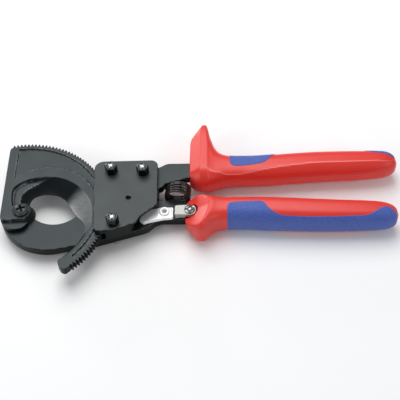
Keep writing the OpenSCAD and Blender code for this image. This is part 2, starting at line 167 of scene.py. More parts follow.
def inside(P, loops):
    """Whether each point is inside the loops, by the even-odd rule."""
    if not isinstance(loops, list):
        loops = [loops]
    odd = np.zeros(len(P), bool)
    for loop in loops:
        a, b = loop, np.roll(loop, -1, 0)
        for (ax, ay), (bx, by) in zip(a, b):
            if ay == by:
                continue
            hit = (ay > P[:, 1]) != (by > P[:, 1])
            odd ^= hit & (P[:, 0] < ax + (P[:, 1] - ay) * (bx - ax) / (by - ay))
    return odd


def away(P, line, closed=True, values=None):
    """The distance of each point from a line, and with values, their level at the nearest point."""
    a = line if closed else line[:-1]
    b = np.roll(line, -1, 0) if closed else line[1:]
    best = np.full(len(P), 1e9)
    level = np.zeros(len(P))
    for i in range(len(a)):
        d = b[i] - a[i]
        t = np.clip(((P - a[i]) @ d) / max(d @ d, 1e-12), 0, 1)
        g = np.linalg.norm(P - (a[i] + t[:, None] * d), axis=1)
        near = g < best
        best = np.where(near, g, best)
        if values is not None:
            v0, v1 = values[i], values[(i + 1) % len(values)]
            level = np.where(near, v0 + (v1 - v0) * t, level)
    return best if values is None else (best, level)


def smooth(x):
    x = np.clip(x, 0, 1)
    return x * x * (3 - 2 * x)


# ---- building meshes

class Build:
    """Vertices and faces of one piece, with two marks: the edge mark, 1 on edges, lightens them as rubbed and
    as a painted highlight; the wall mark, 1 on side walls and hollows, paints shade on them.
    """

    def __init__(self):
        self.v, self.f, self.edge, self.wall, self.index = [], [], [], [], {}

    def add(self, p, edge=0.0, wall=0.0):
        key = (round(p[0], 3), round(p[1], 3), round(p[2], 3))
        k = self.index.get(key)
        if k is None:
            k = self.index[key] = len(self.v)
            self.v.append((float(p[0]), float(p[1]), float(p[2])))
            self.edge.append(edge)
            self.wall.append(wall)
        else:
            self.edge[k] = max(self.edge[k], edge)
            self.wall[k] = max(self.wall[k], wall)
        return k

    def face(self, ids):
        out = []
        for k in ids:
            if not out or out[-1] != k:
                out.append(k)
        if len(out) > 1 and out[0] == out[-1]:
            out.pop()
        if len(set(out)) == len(out) > 2:
            self.f.append(out)

    def strip(self, a, b):
        """Quads between two closed rows of the same length."""
        for i in range(len(a)):
            j = (i + 1) % len(a)
            self.face([a[i], a[j], b[j], b[i]])

    def make(self, node, material, body, sharp=38, ground=None, name=None):
        """The object, which rides on a body, if one is named, and stands for a CAD node."""
        name = name or node + "_finished"
        me = bpy.data.meshes.new(name)
        me.from_pydata([world(v) for v in self.v], [], self.f)
        for key, values in (("edge", self.edge), ("wall", self.wall), ("ground", ground)):
            if values is not None:
                layer = me.attributes.new(key, "FLOAT", "POINT")
                layer.data.foreach_set("value", np.array(values, np.float32))
        me.validate()
        o = bpy.data.objects.new(name, me)
        bpy.context.scene.collection.objects.link(o)
        me.shade_smooth()
        me.set_sharp_from_angle(angle=math.radians(sharp))
        me.materials.append(material)
        normals = o.modifiers.new("normals", "WEIGHTED_NORMAL")
        normals.keep_sharp = True
        normals.weight = 60
        if body:
            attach(o, body)
        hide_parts(node)
        return o


def without_slivers(V, T, thin=0.004):
    """Splits the neighbour on the long side of each triangle that has no height, so that none is left."""
    T = np.array(T)
    for _ in range(60):
        P = V[T]
        sides = np.linalg.norm(P - np.roll(P, -1, 1), axis=2)
        u, w = P[:, 1] - P[:, 0], P[:, 2] - P[:, 0]
        flat = np.where(np.abs(u[:, 0] * w[:, 1] - u[:, 1] * w[:, 0]) < thin * sides.max(1))[0]
        owner, done = {}, set()
        if len(flat):
            for k, t in enumerate(T.tolist()):
                for i in range(3):
                    owner.setdefault(frozenset((t[i], t[i - 1])), []).append(k)
        for k in flat:
            i = int(np.argmax(sides[k]))
            a, b, c = (int(T[k][(i + n) % 3]) for n in range(3))
            beyond = [j for j in owner[frozenset((a, b))] if j != k and j not in done]
            if k not in done and beyond:
                far = [q for q in T[beyond[0]].tolist() if q not in (a, b)][0]
                T[k], T[beyond[0]] = (a, c, far), (c, b, far)
                done |= {k, beyond[0]}
        if not done:
            break
    return T


def sheet_of(build, loops, heights, extra, up=True):
    """Fills the space between loops with triangles, through the extra points."""
    verts, edges = [], []
    for loop in loops:
        k = len(verts)
        verts += [Vector(p) for p in loop]
        edges += [(k + i, k + (i + 1) % len(loop)) for i in range(len(loop))]
    verts += [Vector(p) for p in extra]
    made = geometry.delaunay_2d_cdt(verts, edges, [], 1, 1e-5)
    V = np.array([tuple(v) for v in made[0]])
    T = without_slivers(V, made[2])
    T = T[inside(V[T].mean(1), [np.array(l) for l in loops])]
    Z = heights(V)
    ids = {}
    for t in T:
        row = []
        for k in t:
            k = int(k)
            if k not in ids:
                ids[k] = build.add((V[k, 0], V[k, 1], Z[k]))
            row.append(ids[k])
        (x0, y0), (x1, y1), (x2, y2) = V[t[0]], V[t[1]], V[t[2]]
        ccw = (x1 - x0) * (y2 - y0) - (x2 - x0) * (y1 - y0) > 0
        build.face(row if ccw == up else row[::-1])


# Angle round the fillet of each ring, its edge mark (rubbed edge and painted highlight) and its wall mark
# (painted shade)
FILLET_RINGS = ((0, 0.0, 1.0), (25, 0.3, 0.8), (50, 1.0, 0.3), (72, 0.9, 0.0), (90, 0.0, 0.0))


def relief(build, outline, holes, z0, top, fillet=0.4, foot=0.2, lines=(), grid=None, step=1.2, under=None):
    """A plate from z0 up to top, a number or a function of the points. Lines are kept crisp."""
    height = top if callable(top) else (lambda P: np.full(len(P), float(top)))
    outer = resample(wound(outline), step)
    inner = [resample(wound(h, False), step) for h in holes]
    rows_low, rows_high = [], []
    for loop in [outer] + inner:
        n = beside(loop)
        spread = np.zeros(len(loop)) if under is None else under(loop)
        thick = np.maximum(height(loop) - z0, 0.05)
        rise = np.minimum(foot, 0.4 * thick)
        cut = np.minimum(fillet, 0.5 * thick)
        rings = []
        # The foot rings, and every ring of an unfilleted wall, carry the wall mark: painted shade on the side
        # wall.
        for inset, z in ((rise + spread, np.full(len(loop), z0)), (spread * 0.96, z0 + rise)):
            rings.append((loop + n * inset[:, None], z, 0.0, 1.0))
        for a, e, w in FILLET_RINGS:
            s, c = math.sin(math.radians(a)), math.cos(math.radians(a))
            q = loop + n * (cut * (1 - c))[:, None]
            rings.append((q, height(q) - cut * (1 - s), e if fillet else 0.0, w if fillet else 1.0))
        ids = []
        for q, z, e, w in rings:
            ids.append([build.add((*p, level), e, w) for p, level in zip(q, z)])
        for a, b in zip(ids[:-1], ids[1:]):
            build.strip(a, b)
        rows_low.append(rings[0][0])
        rows_high.append(rings[-1][0])
    extra = []
    for line, closed, w in lines:
        line = resample(line, 0.55, closed)
        n = beside(line, closed)
        extra += [line + n * w, line - n * w]
    extra = np.concatenate(extra) if extra else np.zeros((0, 2))
    if grid:
        lo, hi = outer.min(0), outer.max(0)
        gx, gy = np.meshgrid(np.arange(lo[0], hi[0], grid), np.arange(lo[1], hi[1], grid * 0.866))
        gx = gx + (np.arange(gx.shape[0]) % 2)[:, None] * grid / 2
        G = np.stack([gx.ravel(), gy.ravel()], 1)
        if len(extra):
            near = np.full(len(G), 1e9)
            for k in range(0, len(extra), 400):
                gap = np.linalg.norm(G[:, None] - extra[None, k:k + 400], axis=2)
                near = np.minimum(near, gap.min(1))
            G = G[near > 0.45 * grid]
        extra = np.concatenate([extra, G])
    if len(extra):
        keep = inside(extra, rows_high)
        for row in rows_high:
            keep &= away(extra, row) > 0.12
        extra = extra[keep]
        _, first = np.unique(np.round(extra, 2), axis=0, return_index=True)
        extra = extra[np.sort(first)]
    sheet_of(build, rows_high, height, extra)
    sheet_of(build, rows_low, lambda P: np.full(len(P), z0), np.zeros((0, 2)), up=False)


def lathe(build, centre, profile, n=48):
    """A solid of revolution about a vertical line, from (radius, height) pairs."""
    rings = []
    for r, z in profile:
        if r < 1e-6:
            rings.append([build.add((centre[0], centre[1], z))] * n)
        else:
            rings.append([build.add((x, y, z)) for x, y in circle(centre, r, n)])
    for a, b in zip(rings[:-1], rings[1:]):
        build.strip(a, b)


def cad_loops(node, z):
    """The outlines of a CAD node's flat faces at height z: the largest first, then its holes."""
    me = frame["nodes"][node].data
    co = np.array([(v.co - NOSE) / MM for v in me.vertices])
    flat = np.abs(co[:, 2] - z) < 0.012
    name = {}
    ids = [name.setdefault((round(x, 2), round(y, 2)), len(name)) for x, y, _ in co]
    spot = {i: co[k, :2] for k, i in enumerate(ids) if flat[k]}
    used = {}
    for p in me.polygons:
        if all(flat[k] for k in p.vertices):
            row = [ids[k] for k in p.vertices]
            for a, b in zip(row, row[1:] + row[:1]):
                used[(a, b)] = used.get((a, b), 0) + 1
    after = {a: b for (a, b) in used if (b, a) not in used}
    loops = []
    while after:
        a, b = after.popitem()
        row = [a]
        while b != row[0] and b in after:
            row.append(b)
            b = after.pop(b)
        P = np.array([spot[k] for k in row])
        keep = []
        for i in range(len(P)):
            u, w = P[i] - P[i - 1], P[(i + 1) % len(P)] - P[i]
            size = np.linalg.norm(u) * np.linalg.norm(w)
            if abs(u[0] * w[1] - u[1] * w[0]) > 2e-4 * size or u @ w < 0:
                keep.append(i)
        if len(keep) > 2:
            loops.append(P[keep])
    return sorted(loops, key=lambda l: -abs(turn_of(l)))


# ---- materials

class Nodes:
    """A short way to write a material's node tree."""

    def __init__(self, name):
        self.material = bpy.data.materials.new(name)
        self.material.use_nodes = True
        self.tree = self.material.node_tree
        self.shader = self.tree.nodes["Principled BSDF"]
        self.at = self.new("ShaderNodeTexCoord").outputs["Object"]

    def new(self, kind, **settings):
        n = self.tree.nodes.new(kind)
        for k, v in settings.items():
            setattr(n, k, v)
        return n

    def link(self, a, b):
        self.tree.links.new(a, b)

    def put(self, socket, value):
        if isinstance(value, bpy.types.NodeSocket):
            self.link(value, socket)
        else:
            socket.default_value = value

    def noise(self, scale, detail, rough, stretch=None):
        where = self.at
        if stretch:
            m = self.new("ShaderNodeMapping")
            m.inputs["Scale"].default_value = stretch
            self.link(where, m.inputs["Vector"])
            where = m.outputs[0]
        n = self.new("ShaderNodeTexNoise")
        n.inputs["Scale"].default_value = scale
        n.inputs["Detail"].default_value = detail
        n.inputs["Roughness"].default_value = rough
        self.link(where, n.inputs["Vector"])
        return n.outputs["Fac"]

    def range(self, value, a, b, c, d):
        m = self.new("ShaderNodeMapRange")
        for s, x in zip(("From Min", "From Max", "To Min", "To Max"), (a, b, c, d)):
            m.inputs[s].default_value = x
        self.link(value, m.inputs["Value"])
        return m.outputs[0]

    def math(self, what, a, b):
        m = self.new("ShaderNodeMath", operation=what)
        self.put(m.inputs[0], a)
        self.put(m.inputs[1], b)
        return m.outputs[0]

    def mix(self, f, a, b):
        m = self.new("ShaderNodeMix", data_type="RGBA")
        self.put(m.inputs["Factor"], f)
        self.put(m.inputs["A"], (*a, 1) if isinstance(a, tuple) else a)
        self.put(m.inputs["B"], (*b, 1) if isinstance(b, tuple) else b)
        return m.outputs["Result"]

    def mark(self, name):
        return self.new("ShaderNodeAttribute", attribute_name=name).outputs["Fac"]

    def bump(self, height, strength, distance, normal=None):
        b = self.new("ShaderNodeBump")
        b.inputs["Strength"].default_value = strength
        b.inputs["Distance"].default_value = distance
        self.link(height, b.inputs["Height"])
        if normal is not None:
            self.link(normal, b.inputs["Normal"])
        return b.outputs[0]

    def finish(self, **sockets):
        for name, value in sockets.items():
            self.put(self.shader.inputs[name.replace("_", " ")], value)
        return self.material


# Specular tint of the open faces; a near-black specular tint and base colour, painted shade, for side walls
# and hollows
FACE_TINT, WALL_SHADE_TINT, WALL_PAINTED_SHADE = (0.86, 0.97, 1.0), (0.05, 0.055, 0.06), (0.002, 0.0024, 0.0025)
OXIDE_DARK, OXIDE_LIGHT = (0.0040, 0.0056, 0.0062), (0.0066, 0.0084, 0.0092)


def black_skin(n, dark, light, rough):
    """What the blackened metals share: clouds, grain, colour, lightened edges (partly rubbed, partly a
    painted highlight), roughness, and a specular tint that the wall mark darkens as painted shade.
    """
    cloud = n.noise(55, 5, 0.6)
    fine = n.noise(900, 4, 0.6)
    # Edges lightened: partly rubbed, partly a painted highlight.
    rub_and_highlight = n.math("MULTIPLY", n.mark("edge"), n.range(n.noise(420, 5, 0.65), 0.42, 0.66, 0.0, 0.75))
    mottle = n.math("ADD", n.math("MULTIPLY", cloud, 0.6), n.math("MULTIPLY", fine, 0.4))
    # Painted shade: near-black specular tint on side walls and hollows.
    tint = n.mix(n.mark("wall"), FACE_TINT, WALL_SHADE_TINT)
    return cloud, fine, n.mix(cloud, dark, light), rub_and_highlight, n.range(mottle, 0.3, 0.7, *rough), tint


# The fourth colour lightens the marked edges: partly rubbed metal, partly a painted highlight.
def black_oxide(name, dark=OXIDE_DARK, light=OXIDE_LIGHT, rub_and_highlight_colour=(0.22, 0.23, 0.235), rough=(0.34, 0.46),
                grain=0.3, gloss=0.38):
    n = Nodes(name)
    cloud, fine, body, rub_and_highlight, roughness, tint = black_skin(n, dark, light, rough)
    # Painted shade: the wall mark darkens side walls and hollows to near black.
    body = n.mix(n.math("MULTIPLY", n.mark("wall"), 0.75), body, WALL_PAINTED_SHADE)
    bump = n.bump(fine, grain, 0.00006, n.bump(cloud, 0.05, 0.0003))
    return n.finish(Base_Color=n.mix(rub_and_highlight, body, rub_and_highlight_colour), Roughness=roughness, Normal=bump,
                    Metallic=n.math("MULTIPLY", rub_and_highlight, 0.8), Specular_IOR_Level=gloss, Specular_Tint=tint)


def ground_blade(name):
    """Black oxide, with polished steel where the mark says so. The bevel is polished, but the steel shows
    only on a patch where a highlight falls: a painted highlight.
    """
    n = Nodes(name)
    parts = black_skin(n, OXIDE_DARK, (0.0074, 0.0092, 0.0100), (0.32, 0.46))
    fine, body, rub_and_highlight, roughness, tint = parts[1:]
    lines = n.noise(1.0, 6, 0.7, stretch=(240, 1500, 60))
    bare_and_highlight = n.math("MULTIPLY", n.mark("ground"), n.range(lines, 0.3, 0.62, 0.55, 1.0))
    steel = n.mix(lines, (0.26, 0.27, 0.275), (0.52, 0.53, 0.54))
    colour = n.mix(bare_and_highlight, n.mix(rub_and_highlight, body, (0.24, 0.25, 0.255)), steel)
    bump = n.bump(lines, 0.25, 0.00008, n.bump(fine, 0.3, 0.00006))
    metal = n.math("MAXIMUM", bare_and_highlight, n.math("MULTIPLY", rub_and_highlight, 0.8))
    return n.finish(Base_Color=colour, Roughness=roughness, Normal=bump, Metallic=metal,
                    Specular_IOR_Level=0.38, Specular_Tint=tint)


def bright_metal(name, dark, light, rough=(0.16, 0.34), scale=260, metal=1.0):
    n = Nodes(name)
    cloud = n.noise(scale, 5, 0.6)
    fine = n.noise(1500, 3, 0.5)
    return n.finish(Base_Color=n.mix(cloud, dark, light), Metallic=metal,
                    Roughness=n.range(cloud, 0.3, 0.7, *rough), Normal=n.bump(fine, 0.2, 0.00004))


def grip_plastic(name):
    n = Nodes(name)
    cloud = n.noise(38, 4, 0.5)
    orange = n.noise(650, 3, 0.5)
    speck = n.noise(2400, 2, 0.5)
    colour = n.mix(cloud, (0.68, 0.027, 0.018), (0.75, 0.038, 0.026))
    # Painted highlight: the edge mark, laid along the upper grip's crest, lightens it to a pink line.
    colour = n.mix(n.math("MULTIPLY", n.mark("edge"), 0.5), colour, (0.95, 0.42, 0.36))
    bump = n.bump(speck, 0.12, 0.00004, n.bump(orange, 0.16, 0.00012))
    return n.finish(Base_Color=colour, Roughness=n.range(orange, 0.3, 0.7, 0.33, 0.44), Normal=bump,
                    Subsurface_Weight=0.05, Subsurface_Radius=(0.002, 0.0006, 0.0004),
                    Specular_IOR_Level=0.45, Coat_Weight=0.08, Coat_Roughness=0.3)


def pad_rubber(name):
    n = Nodes(name)
    v = n.new("ShaderNodeTexVoronoi")
    v.inputs["Scale"].default_value = 1500
    n.link(n.at, v.inputs["Vector"])
    cell = v.outputs["Distance"]
    cloud = n.noise(60, 4, 0.5)
    fine = n.noise(1300, 4, 0.6)
    colour = n.mix(cloud, (0.030, 0.070, 0.32), (0.048, 0.098, 0.41))
    colour = n.mix(n.range(cell, 0.0, 0.5, 0.45, 0.0), colour, (0.20, 0.29, 0.62))
    bump = n.bump(cell, 0.35, 0.00012, n.bump(fine, 0.3, 0.0001))
    return n.finish(Base_Color=colour, Roughness=n.range(fine, 0.3, 0.7, 0.5, 0.68), Normal=bump,
                    Sheen_Weight=0.15, Sheen_Roughness=0.5, Specular_IOR_Level=0.45)


def spring_wire(name):
    n = Nodes(name)
    drawn = n.noise(1.0, 5, 0.6, stretch=(1400, 1400, 260))
    blot = n.noise(160, 4, 0.6)
    colour = n.mix(n.range(blot, 0.45, 0.72, 0, 1), (0.020, 0.017, 0.015), (0.075, 0.050, 0.036))
    return n.finish(Base_Color=colour, Metallic=0.35, Roughness=n.range(drawn, 0.3, 0.7, 0.16, 0.34),
                    Normal=n.bump(drawn, 0.2, 0.00004), Specular_IOR_Level=0.8)


M_BLACK = black_oxide("black_steel")
M_BLADE = ground_blade("black_steel_ground")
M_COVER = black_oxide("black_casting", (0.022, 0.023, 0.023), (0.034, 0.035, 0.035), rough=(0.38, 0.52),
                      grain=0.25, gloss=0.42)
M_NUT = black_oxide("black_nut", (0.003, 0.003, 0.004), (0.006, 0.006, 0.007), (0.30, 0.30, 0.30),
                    rough=(0.12, 0.24), grain=0.2, gloss=0.5)
M_SCREW = black_oxide("screw_steel", (0.022, 0.023, 0.024), (0.05, 0.052, 0.054), (0.25, 0.25, 0.25),
                      rough=(0.24, 0.38))
M_BRIGHT = bright_metal("bright_steel", (0.30, 0.30, 0.29), (0.50, 0.50, 0.49))
M_TOOL = bright_metal("tool_steel", (0.28, 0.29, 0.30), (0.42, 0.43, 0.44), (0.28, 0.42))
# Zinc plating, whitened and given little metallic so the lever reads lit inside the lid's shadow: partly its
# own light colour, partly painted light.
M_ZINC_PAINTED_LIGHT = bright_metal("zinc_plate", (0.84, 0.85, 0.85), (0.94, 0.95, 0.95), (0.28, 0.44), 180, 0.2)
M_PLATE = bright_metal("zinc_sheet", (0.28, 0.28, 0.265), (0.38, 0.38, 0.36), (0.32, 0.5), 180, 0.5)
M_SPRING = spring_wire("black_wire")
M_RED = grip_plastic("red_grip")
M_BLUE = pad_rubber("blue_pad")

# ---- blade

TIP_R, DEPTH, PITCH, TEETH, FIRST = 55.0, 1.8, 2.5, 61, 101.25
# The cutting edge, from the hub to the tail
EDGE = np.array([(3.8, 7.4), (4.0, 10.4), (5.9, 13.9), (9.4, 15.8), (13.8, 16.6), (19, 16.1), (22.4, 14.8),
                 (25.9, 12.5), (29.5, 7.1), (34.3, -0.5), (38.6, -5.0), (40.8, -9.6), (40.9, -11.6)])
TAIL = arc((0, 0), 42.4, -16, -50, 18)
# The upper rim of the bevel, with its height
RIM = np.array([(-0.9, 4.4, 9.9), (-1.7, 7.5, 9.9), (-2.1, 10.4, 9.9), (-1.4, 13.9, 9.9),
                (1.3, 17.9, 9.9), (5.1, 20.9, 9.9), (8.4, 22.7, 10.1), (11.4, 24.4, 10.5),
                (14.4, 25.9, 11.2), (17.4, 26.9, 11.9), (19.8, 26.9, 12.0), (26.2, 24.8, 12.0),
                (32.2, 21.2, 12.0), (37.0, 16.8, 12.0), (41.0, 11.6, 12.0), (43.8, 5.8, 12.0),
                (45.1, -1.5, 12.0), (45.3, -8.6, 12.0)])
# The outer wall of the sunk pocket behind the bevel
WALL = np.array([(-6.3, 4.0), (-7.2, 8.0), (-7.7, 12.5), (-7.7, 16.2), (-6.8, 19.0), (-4.6, 21.4),
                 (-2.0, 23.3), (0.8, 24.9), (4.2, 26.3), (8.6, 27.3), (12.6, 27.7), (15.5, 27.6),
                 (17.3, 27.2)])


def tooth_line():
    """The row of teeth, from the first one down to the tail."""
    out = []
    for i in range(TEETH):
        tip = FIRST - i * PITCH
        for r, a in ((TIP_R - DEPTH, 0.46), (TIP_R - 0.08, 0.13), (TIP_R, 0.0),
                     (TIP_R - 0.08, -0.13), (TIP_R - DEPTH, -0.46)):
            out.append(polar(r, tip + a * PITCH))
    return out


def smooth_line(points, step=0.8):
    """A soft curve through the points."""
    P = np.array(points, float)
    n = len(P)
    out = []
    for i in range(n - 1):
        p0, p1, p2, p3 = P[max(i - 1, 0)], P[i], P[i + 1], P[min(i + 2, n - 1)]
        k = max(1, int(np.linalg.norm((p2 - p1)[:2]) / step))
        for j in range(k):
            t = j / k
            out.append(0.5 * ((2 * p1) + (p2 - p0) * t + (2 * p0 - 5 * p1 + 4 * p2 - p3) * t ** 2
                              + (3 * p1 - p0 - 3 * p2 + p3) * t ** 3))
    out.append(P[-1])
    return np.array(out)


edge_line = np.concatenate([smooth_line(EDGE[:8]), smooth_line(EDGE[7:])[1:], TAIL])
rim_line = smooth_line(RIM)
tail_rim = arc((0, 0), 46.3, -11, -54, 30)
rim_all = np.concatenate([rim_line[:, :2], tail_rim])
rim_level = np.concatenate([rim_line[:, 2], np.full(len(tail_rim), 12.0)])
wall_line = smooth_line(WALL)
band = np.concatenate([edge_line, [polar(44, -56)], [polar(46.3, -56)], rim_all[::-1]])
pocket = np.concatenate([wall_line, rim_line[rim_line[:, 0] < 17.2][::-1, :2]])
PANEL_R, PANEL_IN, SUNK = 51.0, 32.2, 1.1
PANEL = np.concatenate([arc((0, 0), PANEL_R, 98.1, 20, 80), arc(PANEL_CENTRE, PANEL_IN, 25, 133.6, 60)])
GROOVE_R, GROOVE_HALF, GROOVE_FROM, GROOVE_TO = 50.0, 0.9, -14.0, -44.0
GROOVE = np.concatenate([
    arc((0, 0), GROOVE_R + GROOVE_HALF, GROOVE_FROM, GROOVE_TO, 30),
    arc(polar(GROOVE_R, GROOVE_TO), GROOVE_HALF, GROOVE_TO, GROOVE_TO - 180, 10)[1:-1],
    arc((0, 0), GROOVE_R - GROOVE_HALF, GROOVE_TO, GROOVE_FROM, 30),
])
HUB_R, HUB_TOP_R, STEP_Y, STEP_Z, SEAT_R, SEAT_Z = 8.4, 6.0, -6.6, 9.4, 5.5, 11.2
EDGE_Z = 6.35


def blade_top(P):
    """The height of the blade's upper side: pocket, bevel, panel, groove, step and hub."""
    r = radius(P)
    turn = np.degrees(np.arctan2(P[:, 1], P[:, 0]))
    z = np.full(len(P), BLADE_TOP)
    far, level = away(P, rim_all, False, rim_level)
    wall = away(P, wall_line, False)
    slope = np.minimum(0.8 + 2.6 * smooth((P[:, 0] + 1.5) / 8), wall + far)
    sunk = (BLADE_TOP - level) * smooth(wall / np.maximum(slope, 1e-6))
    z = np.where(inside(P, pocket), BLADE_TOP - sunk, z)
    near = away(P, edge_line, False)
    s = near / np.maximum(near + far, 1e-6)
    z = np.where(inside(P, band) | (near < 0.05), EDGE_Z + (level - EDGE_Z) * s ** 1.25, z)
    inner = radius(P, PANEL_CENTRE) - PANEL_IN
    z = np.where(inside(P, PANEL), BLADE_TOP - SUNK * smooth(inner / 0.8), z)
    z = np.where(inside(P, GROOVE), BLADE_TOP - SUNK, z)
    z = np.where((P[:, 1] < STEP_Y) & (r < 24), STEP_Z, z)
    z = np.where((r < HUB_R + 0.02) & (np.abs(turn - 2) < 61), EDGE_Z, z)
    cone = BLADE_TOP - 5.65 * np.clip((r - HUB_TOP_R) / 2.35, 0, 1)
    z = np.maximum(z, np.where(r < HUB_R, cone, 0))
    return np.where(r < SEAT_R, SEAT_Z, z)


def blade_outline():
    """The blade's outline: teeth, tail, cutting edge, hub, nose and the straight front side."""
    tail = [polar(r, a) for r, a in ((54.1, -50.2), (54.5, -53.6), (54.4, -54.7), (53.4, -55.7),
                                     (52.2, -56.4), (49.0, -56.4), (47.2, -55.6), (44.2, -53.2))]
    nose = rounded([(4.1, -7.4, 0), (1.6, -11.4, 5), (-6.5, -12.8, 6), (-13.1, -7, 8), (-13.1, 2, 0)])
    front = [(-13.1, 48.2), (-13.05, 49.6), (-12.8, 50.8), (-12.3, 51.7)]
    return np.concatenate([tooth_line(), tail, edge_line[::-1], arc((0, 0), HUB_R, 62, -60, 26), nose, front])


def make_blade():
    b = Build()
    top_ring, step_line = circle((0, 0), HUB_TOP_R, 64), np.array([(-13, STEP_Y), (-5.6, STEP_Y)])
    inner_arc = arc(PANEL_CENTRE, PANEL_IN + 0.8, 25, 133.6, 90)
    wall_foot = wall_line[:30] + beside(wall_line, False)[:30] * -0.85
    lines = [(rim_all, False, 0.13), (wall_line, False, 0.1), (PANEL, True, 0.14), (GROOVE, True, 0.1),
             (top_ring, True, 0.1), (step_line, False, 0.12), (inner_arc, False, 0.1),
             (wall_foot, False, 0.14), (circle((0, 0), SEAT_R, 56), True, 0.08),
             (arc((0, 0), HUB_R, 62, 118, 12), False, 0.1), (arc((0, 0), HUB_R, -62, -128, 14), False, 0.1)]
    relief(b, blade_outline(), [circle((0, 0), 3.05, 40)], BLADE_Z, blade_top, fillet=0.28, foot=0.2,
           grid=1.0, step=0.9, lines=lines)
    V = np.array(b.v)
    P = V[:, :2]
    ground = inside(P, band) & (V[:, 2] > 6.3)
    a = np.degrees(np.arctan2(P[:, 1] - BEVEL_CENTRE[1], P[:, 0] - BEVEL_CENTRE[0]))
    # Painted highlight: a patch low on the right of the bevel lets the steel show; the rest of the bevel gets
    # the wall mark as painted shade.
    painted_highlight = smooth((40 - a) / 30) * smooth((a + 40) / 22) * smooth((P[:, 0] - 24) / 8)
    # Painted highlight lines: the edge mark lightens thin strips at the foot of the pocket wall, along the
    # rim, the panel, the groove and the step.
    foot_of_wall = np.abs(away(P, wall_line, False) - 0.85 - 0.25 * smooth((P[:, 0] + 1.5) / 4))
    foot_of_wall = np.where(inside(P, pocket) & (P[:, 0] < 5), foot_of_wall, 9)
    highlight_lines = np.minimum.reduce([away(P, rim_line[rim_line[:, 0] < 9][:, :2], False), foot_of_wall,
                             away(P, PANEL), away(P, GROOVE), away(P, step_line, False)])
    b.edge = list(np.maximum(b.edge, np.where((highlight_lines < 0.3) & (V[:, 2] > 8), 0.8, 0.0)))
    # Painted shade on the pocket's outer wall.
    pocket_wall_shade = inside(P, pocket) & (V[:, 2] < 11.7) & (away(P, wall_line, False) < 2.2)
    b.wall = list(np.maximum(b.wall, np.where(pocket_wall_shade, 0.8, np.where(ground, 0.8 * (1 - painted_highlight), 0.0))))
    b.make("moving_blade", M_BLADE, "blade", ground=np.where(ground, painted_highlight, 0.0))


make_blade()

# ---- fixed plate, cover and handle

def make_plate():
    loops = cad_loops("fixed_jaw_handle", PLATE_TOP)
    b = Build()

    def under(P):
        """How far the jaw's cutting bevel widens the opening on the underside."""
        return np.where(np.abs(radius(P, JAW_CENTRE) - JAW_R) < 0.15, 1.8, 0.0)
    relief(b, loops[0], loops[1:], 0.0, PLATE_TOP, fillet=0.5, foot=0.4, grid=4, step=1.5, under=under)
    b.make("fixed_jaw_handle", M_BLACK, "frame", name="fixed_jaw_finished")


def minus(loop, part):
    """What is left of a loop when a part that shares some of its outline is taken away."""
    loop, part = wound(resample(loop, 1.0)), wound(resample(part, 1.0))
    keep = (away(loop, part) > 0.06) & ~inside(loop, part)
    first = int(np.where(keep & ~np.roll(keep, 1))[0][0])
    loop, keep = np.roll(loop, -first, 0), np.roll(keep, -first)
    chain = loop[keep]
    new = away(part, loop) > 0.06
    first = int(np.where(new & ~np.roll(new, 1))[0][0])
    part, new = np.roll(part, 1 - first, 0), np.roll(new, 1 - first)
    inner = part[:int(np.where(new)[0].max()) + 2]
    return np.concatenate([chain, inner[::-1]])


def make_cover():
    b = Build()
    lid = cad_loops("front_cover", COVER_TOP)
    thin = cad_loops("front_cover", LIP_Z)[0]
    relief(b, lid[0], lid[1:], LIP_Z, COVER_TOP, fillet=0.8, foot=0.0, step=1.2, grid=4)
    relief(b, minus(lid[0], thin), lid[1:], CAVITY_TOP, LIP_Z + 0.04, fillet=0.0, foot=0.0, step=1.2)
    for loop in cad_loops("front_cover", PLATE_TOP):
        if abs(turn_of(loop)) > 40:
            relief(b, loop, [], PLATE_TOP + 0.02, CAVITY_TOP + 0.05, fillet=0.0, foot=0.15, step=1.2)
    b.make("front_cover", M_COVER, "frame", sharp=32)


def make_handle():
    b = Build()
    z1 = HANDLE_Z + HANDLE_T
    low = cad_loops("moving_handle", HANDLE_Z)
    top = cad_loops("moving_handle", z1)
    relief(b, low[0], low[1:], HANDLE_Z, HANDLE_STEP_Z + 0.05, fillet=0.0, foot=0.4, step=1.5)
    relief(b, top[0], top[1:], HANDLE_STEP_Z, z1, fillet=0.7, foot=0.0, grid=4, step=1.5)
    b.make("moving_handle", M_BLACK, "upper_handle", sharp=32)


make_plate()
make_cover()
make_handle()

# ---- screws, nuts and pins

NUT_H = 6.0
THREAD_R, THREAD_ROOT, THREAD_PITCH = 2.0, 1.72, 0.7
CROSS_TURN, CROSS_HALF, CROSS_ARM = 0.35, 0.7, 2.7


